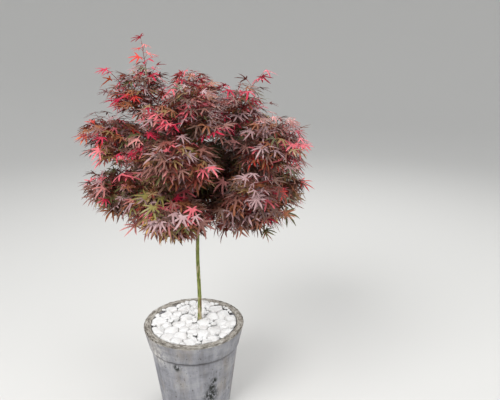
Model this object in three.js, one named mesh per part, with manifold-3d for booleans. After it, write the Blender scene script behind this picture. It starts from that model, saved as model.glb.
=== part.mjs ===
// Potted Japanese maple: a small standard tree with a bare stem and a spreading head of hand-shaped leaves,
// in a round weathered cement pot filled with compost and topped with white stones.
// Millimetres, +Z up. The origin is the centre of the pot's flat underside, and -Y is the front.
import * as THREE from "three";
import { mergeVertices } from "three/addons/utils/BufferGeometryUtils.js";
import Module from "manifold-3d";

const wasm = await Module();
wasm.setup();

// Driving sizes
const GAP = 0.3; // clearance between neighbouring pieces
const POT = {
  height: 315,
  rimRadius: 175,
  rimWidth: 25,
  rimBevel: 4,
  collarHeight: 70,
  collarFootRadius: 159.5,
  bodyTopRadius: 154.5,
  baseRadius: 124,
  baseBevel: 5,
  innerBaseRadius: 101,
  floor: 26,
  cove: 9,
  fillGap: 1,
  sides: 36,
};
const SOIL_TOP = 276;
const STONES = {
  bed: 12,
  count: 30,
  size: [20, 28],
  breadth: [0.72, 1],
  flatness: 0.6,
  tilt: [-0.3, 0.3],
  rise: [-5, 4],
  wall: 17,
};
const TRUNK = {
  foot: [15, 20],
  lean: [11, 3],
  top: 850,
  footRadius: 7.2,
  topRadius: 4.9,
  flare: 5.5,
  flareHeight: 38,
  bend: 2.6,
  waves: [9.1, 7.3],
  sides: 8,
  steps: 18,
};
const BOUGH = { baseRadius: 4.3, tipRadius: 2.7, arch: 0.26, sides: 5, steps: 4 };
const TWIG = { footRadius: 2.8, tipRadius: 1.7, sides: 3, steps: 3 };
const STALK = { shootRadius: 1.6, rootRadius: 0.5, endRadius: 0.8 };
const LEAF = { lobes: 5, spread: 48, outerLobe: 0.58, notch: 0.31, heel: 0.1, thickness: 2.8, droop: 0.3 };
const BEND_AT = 0.45; // where along its way a bough or stem bends
const MARGIN = 1.2; // how far foliage stays inside its own space
const LIMB_CLEARANCE = 1.5; // how far leaves and shoots stay from trunk and boughs
const FULLNESS = 3.4; // 2 makes a mass's space an ellipsoid, more makes it squarer

// The head is tiers of foliage masses round the trunk. Each mass fills a flattened ball, whose half sizes run
// outwards, sideways and upwards. Its bough leaves the trunk at the fork height and enters it part of the way out.
const AXIS = [26, 23]; // the head's middle, over the trunk's top
const TIERS = [
  { name: "low", count: 6, turn: 15, out: 218, height: 806, half: [150, 128, 94], fork: 702, step: 11, enter: 0.34 },
  { name: "middle", count: 5, turn: 46, out: 212, height: 955, half: [150, 138, 94], fork: 768, step: 9, enter: 0.36 },
  { name: "inner", count: 3, turn: 270, out: 84, height: 872, half: [110, 110, 84], fork: 792, step: 7, enter: 0.4 },
  { name: "top", count: 4, turn: 0, out: 164, height: 1068, half: [130, 130, 90], fork: 812, step: 8, enter: 0.46 },
  { name: "crown", count: 1, turn: 0, out: 12, height: 1092, half: [114, 114, 84], fork: 844, step: 0, enter: 0.5 },
];
// Masses that depart from their tier's circle: a shift, other half sizes, or the tip of a long shoot.
const DEPARTURES = {
  low_1: { shift: [18, -20, 12] },
  low_4: { shift: [-8, 6, 8] },
  low_5: { shift: [0, 0, -16] },
  low_6: { shift: [6, -16, -14] },
  middle_3: { shift: [-4, 0, 34] },
  middle_5: { shift: [26, 0, 10] },
  top_1: { shift: [-44, 0, 6], shoots: [[222, 4, 1150]] },
  top_3: { shift: [-16, -6, 38], half: [120, 118, 110], shoots: [[-128, 4, 1240], [-226, -8, 1168]] },
};
// How the twigs branch: angles in degrees and lengths in mm, each drawn between two limits.
const GROWTH = {
  seed: 20,
  pairs: 11,
  stride: 4,
  most: 16,
  forkAngle: [46, 70],
  roll: [-30, 30],
  flatten: 0.75,
  shoot: [0, 70],
  pairedFrom: 14,
  leafRoom: 80,
  leafSize: [72, 88],
  tipLeaf: 0.98,
  tipPair: 0.97,
  root: 6,
  tries: 11,
  shrink: 0.93,
  stalk: [14, 24],
  stalkFork: [40, 66],
  pitch: [6, 50],
  bend: 60,
  tilt: [-26, 26],
  shootLeaves: [0.42, 0.6, 0.78, 0.97],
  shootFrom: 0.4,
  shootStep: 0.25,
  shootArch: 0.16,
  stemEnd: 92,
  stemRise: [-12, 24],
};

// Solids

const UP = new THREE.Vector3(0, 0, 1);
const vec = (x, y, z) => new THREE.Vector3(x, y, z);
const radians = THREE.MathUtils.degToRad;
const mix = THREE.MathUtils.lerp;
const between = ([low, high], next) => mix(low, high, next());

// A seeded source of numbers from 0 to 1.
function seeded(seed) {
  let state = Math.imul(seed + 1, 2654435761) >>> 0;
  return () => {
    state = (Math.imul(state, 1664525) + 1013904223) >>> 0;
    return state / 4294967296;
  };
}

// A closed three.js geometry as a manifold solid.
function solid(geometry) {
  const bare = geometry.index ? geometry.toNonIndexed() : geometry.clone();
  bare.deleteAttribute("normal");
  bare.deleteAttribute("uv");
  const merged = mergeVertices(bare, 1e-4);
  return new wasm.Manifold(
    new wasm.Mesh({
      numProp: 3,
      vertProperties: merged.attributes.position.array,
      triVerts: new Uint32Array(merged.index.array),
    }),
  );
}

// A manifold solid as a named mesh with its own material.
function node(name, body, finish) {
  const { numProp, numVert, vertProperties, triVerts } = body.getMesh();
  const points = new Float32Array(numVert * 3);
  for (let i = 0; i < numVert; i++) {
    points.set(vertProperties.subarray(i * numProp, i * numProp + 3), i * 3);
  }
  const geometry = new THREE.BufferGeometry();
  geometry.setAttribute("position", new THREE.BufferAttribute(points, 3));
  geometry.setIndex(new THREE.BufferAttribute(new Uint32Array(triVerts), 1));
  geometry.computeVertexNormals();
  const made = new THREE.Mesh(geometry, new THREE.MeshStandardMaterial(finish));
  made.name = name;
  return made;
}

const union = (bodies) => wasm.Manifold.union(bodies);

// A solid's largest piece.
function largest(body) {
  return body.decompose().reduce((best, next) => (next.volume() > best.volume() ? next : best));
}

// A round solid turned about Z from a profile of [radius, height] points that starts and ends on the axis.
function turned(profile) {
  const points = profile.map(([radius, height]) => new THREE.Vector2(radius, height));
  return solid(new THREE.LatheGeometry(points, POT.sides).rotateX(Math.PI / 2));
}

// A tapering limb: a cylinder whose rings are carried along a curve, each with its own radius.
function limb(curve, radiusAt, sides, steps) {
  const chord = curve.getPoint(1).sub(curve.getPoint(0)).normalize();
  const level = new THREE.Vector3().crossVectors(UP, chord);
  if (level.length() < 0.3) level.set(1, 0, 0);
  const geometry = new THREE.CylinderGeometry(1, 1, 1, sides, steps);
  const at = geometry.attributes.position;
  for (let i = 0; i < at.count; i++) {
    const t = at.getY(i) + 0.5;
    const along = curve.getTangent(t);
    const across = level.clone().addScaledVector(along, -level.dot(along)).normalize();
    const third = new THREE.Vector3().crossVectors(across, along);
    const point = curve.getPoint(t);
    point.addScaledVector(across, at.getX(i) * radiusAt(t));
    point.addScaledVector(third, at.getZ(i) * radiusAt(t));
    at.setXYZ(i, point.x, point.y, point.z);
  }
  return solid(geometry);
}

// Pot, compost and stones

const innerRimRadius = POT.rimRadius - POT.rimWidth;
const coveHeight = POT.floor + POT.cove;

function innerRadius(height) {
  return mix(POT.innerBaseRadius, innerRimRadius, (height - POT.floor) / (POT.height - POT.floor));
}

function potSolid() {
  const { height, rimRadius, rimBevel, baseRadius, baseBevel, floor } = POT;
  const collarFoot = height - POT.collarHeight;
  return turned([
    [0, 0],
    [baseRadius - baseBevel, 0],
    [baseRadius, baseBevel],
    [POT.bodyTopRadius, collarFoot - 2],
    [POT.collarFootRadius, collarFoot],
    [rimRadius, height - rimBevel * 1.5],
    [rimRadius - rimBevel, height],
    [innerRimRadius + rimBevel, height],
    [innerRimRadius, height - rimBevel],
    [innerRadius(coveHeight), coveHeight],
    [innerRadius(floor) - POT.cove + POT.fillGap, floor],
    [0, floor],
  ]);
}

function compostSolid() {
  const low = POT.floor + GAP;
  return turned([
    [0, low],
    [innerRadius(low) - POT.cove, low],
    [innerRadius(coveHeight) - POT.fillGap, coveHeight],
    [innerRadius(SOIL_TOP) - POT.fillGap, SOIL_TOP],
    [0, SOIL_TOP],
  ]);
}

// White stones: faceted lumps set out on a sunflower spiral and fused to the bed under them.
function stonesSolid() {
  const next = seeded(GROWTH.seed);
  const low = SOIL_TOP + GAP;
  const bed = low + STONES.bed;
  const golden = Math.PI * (3 - Math.sqrt(5));
  const disc = (top) =>
    turned([
      [0, low],
      [innerRadius(low) - POT.fillGap, low],
      [innerRadius(top) - POT.fillGap, top],
      [0, top],
    ]);
  const lumps = [disc(bed)];
  for (let i = 0; i < STONES.count; i++) {
    const out = (innerRadius(bed) - STONES.wall) * Math.sqrt((i + 0.5) / STONES.count);
    const lump = new THREE.IcosahedronGeometry(between(STONES.size, next), 0);
    lump.scale(1, between(STONES.breadth, next), STONES.flatness);
    lump.rotateY(between(STONES.tilt, next));
    lump.rotateZ(between([0, Math.PI], next));
    lump.translate(out * Math.cos(i * golden), out * Math.sin(i * golden), bed + between(STONES.rise, next));
    lumps.push(solid(lump));
  }
  return largest(union(lumps).intersect(disc(POT.height)).subtract(trunkSolid(GAP)));
}

// Trunk

const trunkFoot = SOIL_TOP + GAP;
const trunkHeight = TRUNK.top - trunkFoot;

function trunkPoint(t) {
  const swayX = TRUNK.bend * Math.sin(TRUNK.waves[0] * t);
  const swayY = TRUNK.bend * (Math.sin(TRUNK.waves[1] * t + 1) - Math.sin(1));
  return vec(
    TRUNK.foot[0] + TRUNK.lean[0] * t + swayX,
    TRUNK.foot[1] + TRUNK.lean[1] * t + swayY,
    trunkFoot + trunkHeight * t,
  );
}

const trunkCurve = new THREE.CatmullRomCurve3(Array.from({ length: 9 }, (_, i) => trunkPoint(i / 8)));

function trunkRadius(t) {
  const nearFoot = Math.max(0, 1 - (t * trunkHeight) / TRUNK.flareHeight);
  return mix(TRUNK.footRadius, TRUNK.topRadius, t) + TRUNK.flare * nearFoot ** 2;
}

// The trunk, or with a spread above zero the space that it takes with that clearance.
function trunkSolid(spread = 0) {
  const body = limb(trunkCurve, (t) => trunkRadius(t) + spread, TRUNK.sides, TRUNK.steps);
  return spread ? body : body.trimByPlane([0, 0, 1], trunkFoot);
}

// Boughs and stems

// Where a mass of foliage sits, the bough that carries it, and the stem and long shoots that it grows on.
function placeMass(tier, i, next) {
  const name = `${tier.name}_${i + 1}`;
  const own = DEPARTURES[name] ?? {};
  const turn = radians(tier.turn + (360 / tier.count) * i);
  const outward = vec(Math.cos(turn), Math.sin(turn), 0);
  const centre = vec(...AXIS, tier.height)
    .addScaledVector(outward, tier.out)
    .add(vec(...(own.shift ?? [0, 0, 0])));
  const half = own.half ?? tier.half;
  const fork = trunkPoint((tier.fork + tier.step * ((2 * i + 1) % tier.count) - trunkFoot) / trunkHeight);
  const bough = arched(fork, fork.clone().lerp(centre, tier.enter), BOUGH.arch);
  const stem = stemCurve(bough, centre.clone().addScaledVector(outward, half[0] - GROWTH.stemEnd), next);
  const shoots = (own.shoots ?? []).map((tip, k) =>
    arched(onStem(stem, GROWTH.shootFrom + GROWTH.shootStep * k), vec(...tip), GROWTH.shootArch),
  );
  const sideways = new THREE.Vector3().crossVectors(UP, outward);
  return { name, outward, sideways, centre, half, bough, stem, shoots, next };
}

// A curve that rises in an arch from one point to another.
function arched(from, to, arch) {
  const bend = from.clone().lerp(to, BEND_AT).addScaledVector(UP, arch * from.distanceTo(to));
  return new THREE.QuadraticBezierCurve3(from, bend, to);
}

// The stem of a mass, which carries on from its bough's tip towards a goal.
function stemCurve(bough, goal, next) {
  const heading = bough.getTangent(1);
  const start = bough.getPoint(1).addScaledVector(heading, GAP);
  goal.z += between(GROWTH.stemRise, next);
  const bend = start.clone().addScaledVector(heading, start.distanceTo(goal) * BEND_AT);
  return new THREE.QuadraticBezierCurve3(start, bend, goal);
}

// A point on the straight runs that a stem's solid makes of its curve.
function onStem(curve, t) {
  const step = Math.min(Math.floor(t * TWIG.steps), TWIG.steps - 1);
  const from = curve.getPoint(step / TWIG.steps);
  return from.lerp(curve.getPoint((step + 1) / TWIG.steps), t * TWIG.steps - step);
}

function stemSolid(curve, spread = 0) {
  const radiusAt = (t) => mix(TWIG.footRadius, TWIG.tipRadius, t) + spread;
  return limb(curve, radiusAt, TWIG.sides, TWIG.steps);
}

function boughSolid(mass, spread = 0) {
  const radiusAt = (t) => mix(BOUGH.baseRadius, BOUGH.tipRadius, t) + spread;
  return limb(mass.bough, radiusAt, BOUGH.sides, BOUGH.steps);
}

const masses = [];
for (const tier of TIERS) {
  for (let i = 0; i < tier.count; i++) {
    masses.push(placeMass(tier, i, seeded(GROWTH.seed + 1 + masses.length)));
  }
}

// Foliage: the space of each mass

// Whether a point is nearer to its own mass's middle than to any other's.
function inCell(point, mass) {
  return masses.every((other) => {
    if (other === mass) return true;
    const apart = other.centre.clone().sub(mass.centre);
    const halfway = mass.centre.clone().lerp(other.centre, 0.5);
    return point.clone().sub(halfway).dot(apart) / apart.length() < -MARGIN;
  });
}

// How far out a point lies in a mass's flattened ball: 1 is its surface.
function reach(point, mass) {
  const from = point.clone().sub(mass.centre);
  const parts = [from.dot(mass.outward), from.dot(mass.sideways), from.z];
  const shares = parts.map((part, i) => Math.abs(part) / mass.half[i]);
  return shares.reduce((sum, share) => sum + share ** FULLNESS, 0) ** (1 / FULLNESS);
}

// How far one can go from a point along a heading before leaving the mass's space.
function roomAlong(point, heading, mass) {
  const step = 4;
  let room = 0;
  const ahead = () => point.clone().addScaledVector(heading, room + step);
  while (reach(ahead(), mass) < 1 && inCell(ahead(), mass)) room += step;
  return room;
}

// Foliage: leaves

// A leaf's outline as [angle from its middle lobe, length], from one outer lobe to the other.
function leafOutline() {
  const points = [];
  const last = (LEAF.lobes - 1) / 2;
  for (let lobe = -last; lobe <= last; lobe++) {
    points.push([lobe * LEAF.spread, mix(1, LEAF.outerLobe, (Math.abs(lobe) / last) ** 1.8)]);
    if (lobe < last) points.push([(lobe + 0.5) * LEAF.spread, LEAF.notch]);
  }
  return points;
}

// The three corners of a stalk round a point, in the plane of two directions.
function stalkCorners(centre, across, up, radius) {
  return [150, 270, 390].map((turn) =>
    centre
      .clone()
      .addScaledVector(across, radius * Math.cos(radians(turn)))
      .addScaledVector(up, radius * Math.sin(radians(turn))),
  );
}

// A leaf on its stalk as one closed shell: a three-sided stalk whose end opens into a thin, drooping blade.
function leafSolid({ foot, heel, along, across, normal, size, footRadius }) {
  const stalk = heel.clone().sub(foot).normalize();
  const stalkAcross = across.clone().addScaledVector(stalk, -across.dot(stalk)).normalize();
  const stalkUp = new THREE.Vector3().crossVectors(stalk, stalkAcross);
  const middle = heel.clone().addScaledVector(along, LEAF.heel * size);
  const outline = leafOutline().map(([angle, length]) =>
    middle
      .clone()
      .addScaledVector(along, length * size * Math.cos(radians(angle)))
      .addScaledVector(across, length * size * Math.sin(radians(angle)))
      .addScaledVector(normal, -LEAF.droop * size * length ** 2),
  );
  const points = [
    ...stalkCorners(foot, stalkAcross, stalkUp, footRadius),
    ...stalkCorners(heel, stalkAcross, stalkUp, STALK.endRadius),
    ...outline,
    middle.clone().addScaledVector(normal, LEAF.thickness / 2),
    middle.clone().addScaledVector(normal, -LEAF.thickness / 2),
  ];
  const [left, under, right] = [3, 4, 5];
  const upper = points.length - 2;
  const lower = points.length - 1;
  const faces = [0, 2, 1, upper, right, left, lower, left, under, lower, under, right];
  for (const [a, b] of [[0, 1], [1, 2], [2, 0]]) faces.push(a, b, a + 3, b, b + 3, a + 3);
  const rim = [left, ...outline.map((_, i) => right + 1 + i), right];
  for (let i = 0; i + 1 < rim.length; i++) {
    faces.push(upper, rim[i], rim[i + 1], lower, rim[i + 1], rim[i]);
  }
  return solid(new THREE.BufferGeometry().setFromPoints(points).setIndex(faces));
}

// A leaf whose twig and stalk run straight from a foot along a heading. Its blade is pitched down and tilted.
function leafFrom(foot, heading, twigLength, footRadius, size, draw) {
  const heel = foot.clone().addScaledVector(heading, twigLength + between(GROWTH.stalk, draw));
  const level = vec(heading.x, heading.y, 0).normalize();
  const slope = THREE.MathUtils.radToDeg(Math.asin(heading.z));
  const pitch = radians(Math.min(between(GROWTH.pitch, draw), GROWTH.bend - slope));
  const along = level.clone().multiplyScalar(Math.cos(pitch)).addScaledVector(UP, -Math.sin(pitch));
  const across = new THREE.Vector3().crossVectors(UP, level);
  across.applyAxisAngle(along, radians(between(GROWTH.tilt, draw)));
  const normal = new THREE.Vector3().crossVectors(along, across);
  return { foot, heel, along, across, normal, size, footRadius };
}

// Foliage: twigs

// A heading that forks off from another by an angle, to a side that is rolled round it, then flattened.
function forked(heading, angle, roll) {
  const away = new THREE.Vector3().crossVectors(UP, heading).normalize();
  away.applyAxisAngle(heading, radians(roll));
  const branch = heading.clone().multiplyScalar(Math.cos(radians(angle)));
  branch.addScaledVector(away, Math.sin(radians(angle)));
  return branch.setZ(branch.z * GROWTH.flatten).normalize();
}

// A mass of foliage, fused. It keeps each leaf that is in the mass's space, clear of limbs and other leaves.
function foliageSolid(mass, limbs) {
  const { next, stem, shoots } = mass;
  const bodies = [stem, ...shoots].map((curve) => stemSolid(curve));
  const others = masses.filter((other) => other !== mass);
  const otherStems = others.flatMap((other) => [other.stem, ...other.shoots]);
  const inTheWay = [limbs, ...bodies, ...otherStems.map((curve) => stemSolid(curve, LIMB_CLEARANCE))];
  let leaves = 0;

  function fits(body, free) {
    const { numProp, vertProperties } = body.getMesh();
    for (let i = 0; i < vertProperties.length; i += numProp) {
      const point = vec(...vertProperties.subarray(i, i + 3));
      if (!inCell(point, mass) || (!free && reach(point, mass) > 1)) return false;
    }
    return inTheWay.every((other) => body.intersect(other).isEmpty());
  }

  // Adds a leaf where one of a few tries fits, each smaller than the last, and says whether it did.
  function addLeaf(foot, heading, twigLength, free = false) {
    const draw = seeded(next() * 1e6);
    if (leaves === GROWTH.most) return false;
    const footRadius = twigLength ? STALK.shootRadius : STALK.rootRadius;
    for (let attempt = 0; attempt < GROWTH.tries; attempt++) {
      const size = between(GROWTH.leafSize, draw) * GROWTH.shrink ** attempt;
      const leaf = leafFrom(foot, heading, twigLength, footRadius, size, draw);
      const rootless = leafSolid({ ...leaf, foot: foot.clone().addScaledVector(heading, GROWTH.root) });
      if (!fits(rootless, free)) continue;
      inTheWay.push(rootless);
      bodies.push(leafSolid(leaf));
      leaves += 1;
      return true;
    }
    return false;
  }

  // Adds a pair of leaves, one on each side of a twig.
  function addPair(foot, heading, roll, free) {
    for (const side of [1, -1]) {
      addLeaf(foot, forked(heading, side * between(GROWTH.stalkFork, next), roll), 0, free);
    }
  }

  for (const shoot of shoots) {
    addLeaf(onStem(shoot, GROWTH.tipLeaf), shoot.getTangent(1), 0, true);
    for (const [i, t] of GROWTH.shootLeaves.entries()) {
      addPair(onStem(shoot, t), shoot.getTangent(t), 90 * (i % 2), true);
    }
  }
  addLeaf(onStem(stem, GROWTH.tipLeaf), stem.getTangent(1), 0);
  addPair(onStem(stem, GROWTH.tipPair), stem.getTangent(1), between(GROWTH.roll, next));
  for (let i = 0; i < GROWTH.pairs; i++) {
    const t = (((i * GROWTH.stride) % GROWTH.pairs) + 0.5) / GROWTH.pairs;
    const foot = onStem(stem, t);
    const roll = 90 * (i % 2) + between(GROWTH.roll, next);
    for (const side of [1, -1]) {
      const heading = forked(stem.getTangent(t), side * between(GROWTH.forkAngle, next), roll);
      const room = roomAlong(foot, heading, mass) - GROWTH.leafRoom;
      const twigLength = THREE.MathUtils.clamp(room, ...GROWTH.shoot);
      const pairRoll = between(GROWTH.roll, next);
      if (addLeaf(foot, heading, twigLength) && twigLength > GROWTH.pairedFrom) {
        addPair(foot.clone().addScaledVector(heading, twigLength), heading, pairRoll);
      }
    }
  }
  return largest(union(bodies));
}

// The whole plant

const FINISH = {
  pot: { color: 0x8f8c86, roughness: 0.9, metalness: 0 },
  compost: { color: 0x2a211b, roughness: 1, metalness: 0 },
  stones: { color: 0xf0f0ee, roughness: 0.7, metalness: 0 },
  trunk: { color: 0x77803f, roughness: 0.8, metalness: 0 },
  bough: { color: 0x6a5a35, roughness: 0.8, metalness: 0 },
  foliage: { color: 0x6b2f3c, roughness: 0.6, metalness: 0 },
};

const maple = new THREE.Group();
maple.add(node("pot", potSolid(), FINISH.pot));
maple.add(node("compost", compostSolid(), FINISH.compost));
maple.add(node("stones", stonesSolid(), FINISH.stones));
maple.add(node("trunk", trunkSolid(), FINISH.trunk));
const limbs = union([trunkSolid(LIMB_CLEARANCE), ...masses.map((mass) => boughSolid(mass, LIMB_CLEARANCE))]);
let taken = trunkSolid(GAP);
for (const mass of masses) {
  maple.add(node(`bough_${mass.name}`, largest(boughSolid(mass).subtract(taken)), FINISH.bough));
  maple.add(node(`foliage_${mass.name}`, foliageSolid(mass, limbs), FINISH.foliage));
  taken = taken.add(boughSolid(mass, GAP));
}

export default maple;
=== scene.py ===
# A potted Japanese maple: a small standard tree with a green stem and a spreading head of purple and crimson
# hand-shaped leaves, in a weathered cement pot topped with white stones.
# Sizes are millimetres in the pot's frame, as in the CAD part. Meshes are made in metres.
from math import cos, exp, pi, radians, sin, sqrt
from types import SimpleNamespace as Table
import bpy
import numpy as np
from numpy.linalg import norm
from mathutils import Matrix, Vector, noise


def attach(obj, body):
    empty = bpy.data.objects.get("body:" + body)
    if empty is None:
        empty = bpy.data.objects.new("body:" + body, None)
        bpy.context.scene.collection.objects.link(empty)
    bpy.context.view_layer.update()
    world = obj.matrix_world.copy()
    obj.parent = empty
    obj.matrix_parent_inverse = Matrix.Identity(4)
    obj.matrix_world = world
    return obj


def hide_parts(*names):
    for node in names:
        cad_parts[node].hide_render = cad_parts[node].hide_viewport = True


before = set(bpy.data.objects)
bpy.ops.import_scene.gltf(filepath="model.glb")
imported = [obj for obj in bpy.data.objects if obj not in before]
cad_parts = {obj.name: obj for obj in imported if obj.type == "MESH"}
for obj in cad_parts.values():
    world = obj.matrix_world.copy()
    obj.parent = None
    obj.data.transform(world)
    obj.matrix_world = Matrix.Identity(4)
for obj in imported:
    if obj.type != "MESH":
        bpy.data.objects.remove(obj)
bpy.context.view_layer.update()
scene = bpy.context.scene

# Driving sizes, as in the CAD part
MM = 0.001
GAP = 0.3
POT = Table(
    height=315,
    rim_radius=175,
    rim_width=25,
    rim_bevel=4,
    collar_height=70,
    collar_foot_radius=159.5,
    body_top_radius=154.5,
    base_radius=124,
    inner_base_radius=101,
    floor=26,
    cove=9,
)
SOIL_TOP = 276
TRUNK = Table(
    foot=(15, 20),
    lean=(11, 3),
    top=850,
    foot_radius=7.2,
    top_radius=4.9,
    flare=5.5,
    flare_height=38,
    bend=2.6,
    waves=(9.1, 7.3),
)
BOUGH = Table(base_radius=4.3, tip_radius=2.7, arch=0.26)
BEND_AT = 0.45
MARGIN = 1.2
FULLNESS = 3.4
AXIS = (26, 23)
TIERS = [
    Table(name="low", count=6, turn=15, out=218, height=806, half=(150, 128, 94),
          fork=702, step=11, enter=0.34),
    Table(name="middle", count=5, turn=46, out=212, height=955, half=(150, 138, 94),
          fork=768, step=9, enter=0.36),
    Table(name="inner", count=3, turn=270, out=84, height=872, half=(110, 110, 84),
          fork=792, step=7, enter=0.4),
    Table(name="top", count=4, turn=0, out=164, height=1068, half=(130, 130, 90),
          fork=812, step=8, enter=0.46),
    Table(name="crown", count=1, turn=0, out=12, height=1092, half=(114, 114, 84),
          fork=844, step=0, enter=0.5),
]
DEPARTURES = {
    "low_1": {"shift": (18, -20, 12)},
    "low_4": {"shift": (-8, 6, 8)},
    "low_5": {"shift": (0, 0, -16)},
    "low_6": {"shift": (6, -16, -14)},
    "middle_3": {"shift": (-4, 0, 34)},
    "middle_5": {"shift": (26, 0, 10)},
    "top_1": {"shift": (-44, 0, 6), "shoots": [(222, 4, 1150)]},
    "top_3": {"shift": (-16, -6, 38), "half": (120, 118, 110),
              "shoots": [(-128, 4, 1240), (-226, -8, 1168)]},
}
GROWTH = Table(
    seed=20,
    fork_angle=(46, 70),
    roll=(-30, 30),
    flatten=0.75,
    stem_end=92,
    stem_rise=(-12, 24),
    shoot_from=0.4,
    shoot_step=0.25,
    shoot_arch=0.16,
)

# How the twigs are carried on: angles in degrees, lengths in mm, places as shares of a limb's length
FINE = Table(
    stem_pairs=15, stem_stride=4, bough_from=0.4, bough_to=0.98, bough_step=17, leaf_room=50,
    longest_shoot=110, shoot_share=(0.55, 1.0), shoot_lift=(-0.08, 0.22), first_node=15,
    internode=(17, 25), twig_share=0.55, longest_twig=44, least_twig=7, twig_extra=10, pair_at=0.97,
    twig_pair_at=0.92, second_pair_from=24, second_pair_at=0.5, long_shoot_step=27,
    long_shoot_leaves=(0.96, 0.25), stem_radius=(2.8, 1.7), shoot_radius=(1.6, 0.95),
    twig_radius=(0.95, 0.65), petiole_radius=(0.75, 0.5), petiole_bend=0.6, petiole_arch=1.5,
    petiole_sunk=0.5,
)
TWIGS = {"old": Table(shade="5d5230", rough=0.6, sides=6), "young": Table(shade="7c3027", rough=0.5, sides=5)}

# The leaves, with lengths in mm and angles in degrees, but for the lobes' sweep, which is in radians
LEAF = Table(
    size=(36, 54), high_size=0.82, petiole=(16, 38), petiole_least=0.6, fork=(30, 74),
    high_pitch=(-14, 30), low_pitch=(-4, 58), tilt=(-34, 34), reach=(0.76, 1.0), ragged=0.6, clump=66,
    furthest=1.05, overlap=34, tries=4, shrink=0.92, apart=21, limb_clearance=6, seven_lobed=0.6,
    middle=0.3, notch=0.2, heel_notch=0.07, heel_angle=24, base_rise=0.02, droop=(0.02, 0.3),
    fold=(0.15, 0.5), lift=0.2, sweep=0.2,
)

# How far the flattened balls of neighbouring masses melt together: less fills the notches between them more
MELT = 4

# The shaded middle of the crown, which leaves on the boughs fill: a flattened ball round the axis
CORE = Table(height=880, half=(215, 215, 172), shade=0.8)

# How far and how finely the room along a heading is measured, and how many leaves there may be
ROOM = Table(step=4, most=300)
MOST_LEAVES = 20000

# Small tools
UP = np.array([0.0, 0.0, 1.0])


def seeded(seed):
    """A seeded source of numbers from 0 to 1, the same one as the CAD part's."""
    state = (seed + 1) * 2654435761 % 4294967296

    def draw():
        nonlocal state
        state = (state * 1664525 + 1013904223) % 4294967296
        return state / 4294967296

    return draw


def mix(low, high, t):
    return low + (high - low) * t


def between(limits, draw):
    return mix(limits[0], limits[1], draw())


def unit(vector):
    return vector / norm(vector)


def cos_sin(angle):
    """The cosine and sine of an angle in degrees."""
    return cos(radians(angle)), sin(radians(angle))


def turned(vector, axis, angle):
    """A vector turned round a unit axis by an angle in degrees."""
    c, s = cos_sin(angle)
    return vector * c + np.cross(axis, vector) * s + axis * (axis @ vector) * (1 - c)


class Curve:
    """A quadratic curve from a start to an end, past a bend."""

    def __init__(self, start, bend, end):
        self.start, self.bend, self.end = (np.array(p, float) for p in (start, bend, end))

    def point(self, t):
        return (1 - t) ** 2 * self.start + 2 * t * (1 - t) * self.bend + t * t * self.end

    def heading(self, t):
        return unit((1 - t) * (self.bend - self.start) + t * (self.end - self.bend))

    def points(self, count):
        return np.array([self.point(t) for t in np.linspace(0, 1, count)])


def arched(start, end, arch):
    """A curve that rises in an arch from one point to another."""
    bend = mix(start, end, BEND_AT) + UP * arch * norm(end - start)
    return Curve(start, bend, end)


# Meshes
def tube(points, radii, sides, relief=1):
    """A closed tube along points, as (vertices, faces). relief scales the radius at each ring and angle."""
    chord = unit(points[-1] - points[0])
    level = np.cross(UP, chord)
    if norm(level) < 0.3:
        level = np.array([1.0, 0, 0])
    ahead = np.gradient(points, axis=0)
    ahead /= norm(ahead, axis=1, keepdims=True)
    across = level - ahead * (ahead @ level)[:, None]
    across /= norm(across, axis=1, keepdims=True)
    third = np.cross(across, ahead)
    angles = np.arange(sides) * 2 * pi / sides
    spread = np.array(radii)[:, None] * np.full((len(points), sides), relief)
    rings = (
        points[:, None]
        + across[:, None] * (np.cos(angles) * spread)[..., None]
        + third[:, None] * (np.sin(angles) * spread)[..., None]
    )
    vertices = np.concatenate([rings.reshape(-1, 3), points[:1], points[-1:]])
    foot, tip = len(vertices) - 2, len(vertices) - 1
    last = (len(points) - 1) * sides
    faces = []
    for j in range(sides):
        k = (j + 1) % sides
        faces.append((foot, j, k))
        faces.append((tip, last + k, last + j))
        for row in range(0, last, sides):
            faces.append((row + j, row + sides + j, row + sides + k, row + k))
    return vertices, faces


def joined(parts):
    """Several (vertices, faces) as one."""
    vertices, faces, start = [], [], 0
    for points, corners in parts:
        vertices.append(points)
        faces.extend(tuple(i + start for i in face) for face in corners)
        start += len(points)
    return np.concatenate(vertices), faces


def new_object(name, data):
    """A new object in the scene."""
    made = bpy.data.objects.new(name, data)
    scene.collection.objects.link(made)
    return made


def smooth_object(name, vertices, faces, look):
    """A smooth-shaded object, from vertices in metres."""
    mesh = bpy.data.meshes.new(name)
    mesh.from_pydata(vertices, [], faces)
    mesh.shade_smooth()
    mesh.materials.append(look.material)
    return new_object(name, mesh)


def piece(name, vertices, faces, look, slot, nodes=()):
    """A named piece of the plant, from vertices in mm."""
    made = smooth_object(name, (vertices * MM).tolist(), faces, look)
    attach(made, "root")
    if nodes:
        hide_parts(*nodes)


# Materials
def colour(code):
    """A hex colour such as 8f8c86 as a linear colour."""
    parts = [int(code[i : i + 2], 16) / 255 for i in (0, 2, 4)]
    return (*(c / 12.92 if c < 0.04045 else ((c + 0.055) / 1.055) ** 2.4 for c in parts), 1)


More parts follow.
